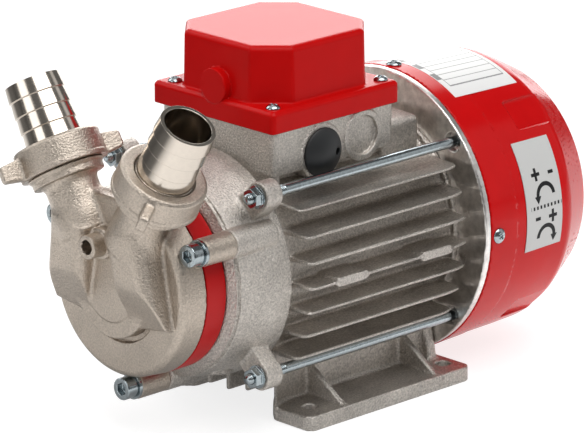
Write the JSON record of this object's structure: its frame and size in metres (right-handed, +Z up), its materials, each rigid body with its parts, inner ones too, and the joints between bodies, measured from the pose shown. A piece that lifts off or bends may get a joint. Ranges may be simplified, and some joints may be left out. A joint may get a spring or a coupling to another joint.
{
  "type": "electric transfer pump",
  "caption": "Close-coupled electric transfer pump: cast head with two barbed hose unions on a finned foot-mounted motor with terminal box and fan cover.",
  "frame": {"origin": "middle of the four foot holes, on the underside of the feet", "axes": "+X along the shaft from the pump head to the fan, +Z up, -Y towards the side with the cable grommet"},
  "size_m": [0.2717, 0.1366, 0.168],
  "materials": {
    "lamination": "stacked sheet",
    "copper": "copper",
    "steel": "ground",
    "black_plastic": "matt moulded",
    "carbon": "pressed carbon",
    "black_rubber": "matt",
    "zinc_steel": "bright zinc plate",
    "red_paint": "gloss",
    "polished_nickel": "polished nickel plate",
    "nickel_casting": "satin nickel over a brass casting",
    "brass": "machined",
    "cast_aluminium": "sand-blasted casting",
    "machined_aluminium": "turned",
    "red_ring": "satin",
    "magnet": "sintered ferrite",
    "red_plastic": "semi-gloss moulded"
  },
  "bodies": {
    "frame": {"bearing_washer": "steel", "brush_holder": "black_plastic", "brush_springs": "steel", "brushes": "carbon", "cable_grommet": "black_rubber", "chamber_gaskets": "black_rubber", "cover_bolts": "zinc_steel", "cover_washers": "zinc_steel", "fan_cover": "red_paint", "fan_cover_screws": "zinc_steel", "far_union_gasket": "black_rubber", "front_bearing_outer": "steel", "lid_gasket": "black_rubber", "lid_screws": "zinc_steel", "motor_housing": "cast_aluminium", "near_union_gasket": "black_rubber", "pump_cover": "nickel_casting", "rear_bearing_outer": "steel", "rear_shield": "machined_aluminium", "shaft_seal": "black_rubber", "spacer_ring": "red_ring", "stator_magnets": "magnet", "terminal_block": "black_plastic", "terminal_lid": "red_plastic", "terminal_screws": "brass", "tie_rod_nuts": "zinc_steel", "tie_rods": "zinc_steel"},
    "rotor": {"rotor_shaft": "steel", "armature_core": "lamination", "armature_winding": "copper", "commutator": "copper", "front_bearing_inner": "steel", "rear_bearing_inner": "steel", "flinger": "black_rubber", "impeller": "brass", "impeller_key": "steel", "impeller_nut": "brass", "fan": "black_plastic", "fan_circlip": "steel"},
    "near_tail": {"near_hose_tail": "polished_nickel"},
    "near_nut": {"near_wing_nut": "nickel_casting"},
    "far_tail": {"far_hose_tail": "polished_nickel"},
    "far_nut": {"far_wing_nut": "nickel_casting"}
  },
  "joints": [
    {"name": "shaft_spin", "type": "hinge", "parent": "frame", "child": "rotor", "pos_m": [0, 0, 0.0695], "axis": [1, 0, 0], "continuous": true},
    {"name": "near_tail_lift", "type": "slide", "parent": "frame", "child": "near_tail", "axis": [0, -0.515, 0.8572], "range_m": [0, 0.00693]},
    {"name": "near_nut_turn", "type": "hinge", "parent": "near_tail", "child": "near_nut", "pos_m": [-0.1196, -0.03168, 0.12222], "axis": [0, -0.515, 0.8572], "range_deg": [0, 1080]},
    {"name": "far_tail_lift", "type": "slide", "parent": "frame", "child": "far_tail", "axis": [0, 0.515, 0.8572], "range_m": [0, 0.00693]},
    {"name": "far_nut_turn", "type": "hinge", "parent": "far_tail", "child": "far_nut", "pos_m": [-0.1196, 0.03168, 0.12222], "axis": [0, 0.515, 0.8572], "range_deg": [0, 1080]}
  ],
  "couplings": [
    {"joint": "near_tail_lift", "follows": "near_nut_turn", "m_per_rad": 0.00036749},
    {"joint": "far_tail_lift", "follows": "far_nut_turn", "m_per_rad": 0.00036749}
  ]
}
